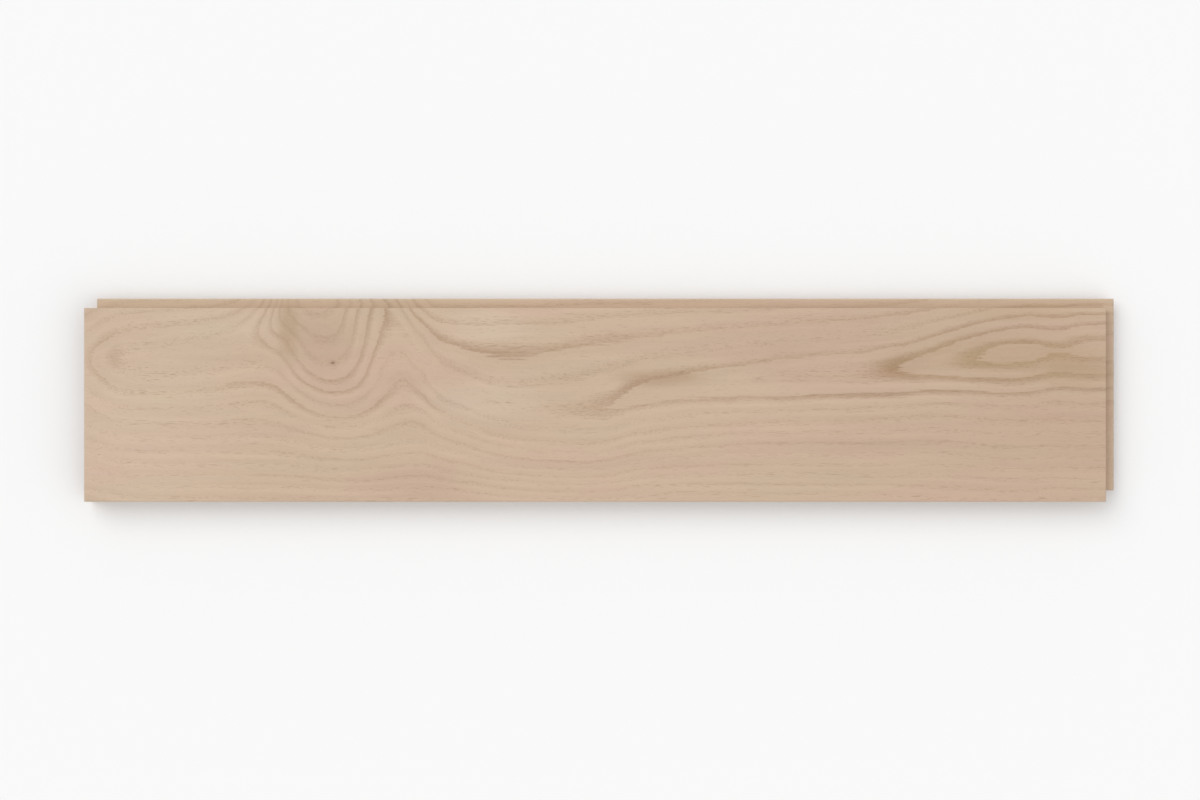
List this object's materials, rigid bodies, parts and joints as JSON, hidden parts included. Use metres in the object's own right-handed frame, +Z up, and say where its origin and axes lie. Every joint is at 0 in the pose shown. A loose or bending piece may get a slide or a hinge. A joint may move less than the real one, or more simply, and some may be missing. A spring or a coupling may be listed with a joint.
{
  "type": "wide plank floorboard",
  "caption": "Solid wood floorboard with a wide flat walking face, tongue and groove on its long edges and ends, and relief channels along its back.",
  "frame": {"origin": "on the back, under the middle of the walking face", "axes": "+X along the grain towards the end tongue, +Y across the board towards the long tongue, +Z up out of the walking face"},
  "size_m": [0.6764, 0.1334, 0.019],
  "materials": {
    "oak": "matte"
  },
  "bodies": {
    "root": {"floorboard": "oak"}
  },
  "joints": []
}
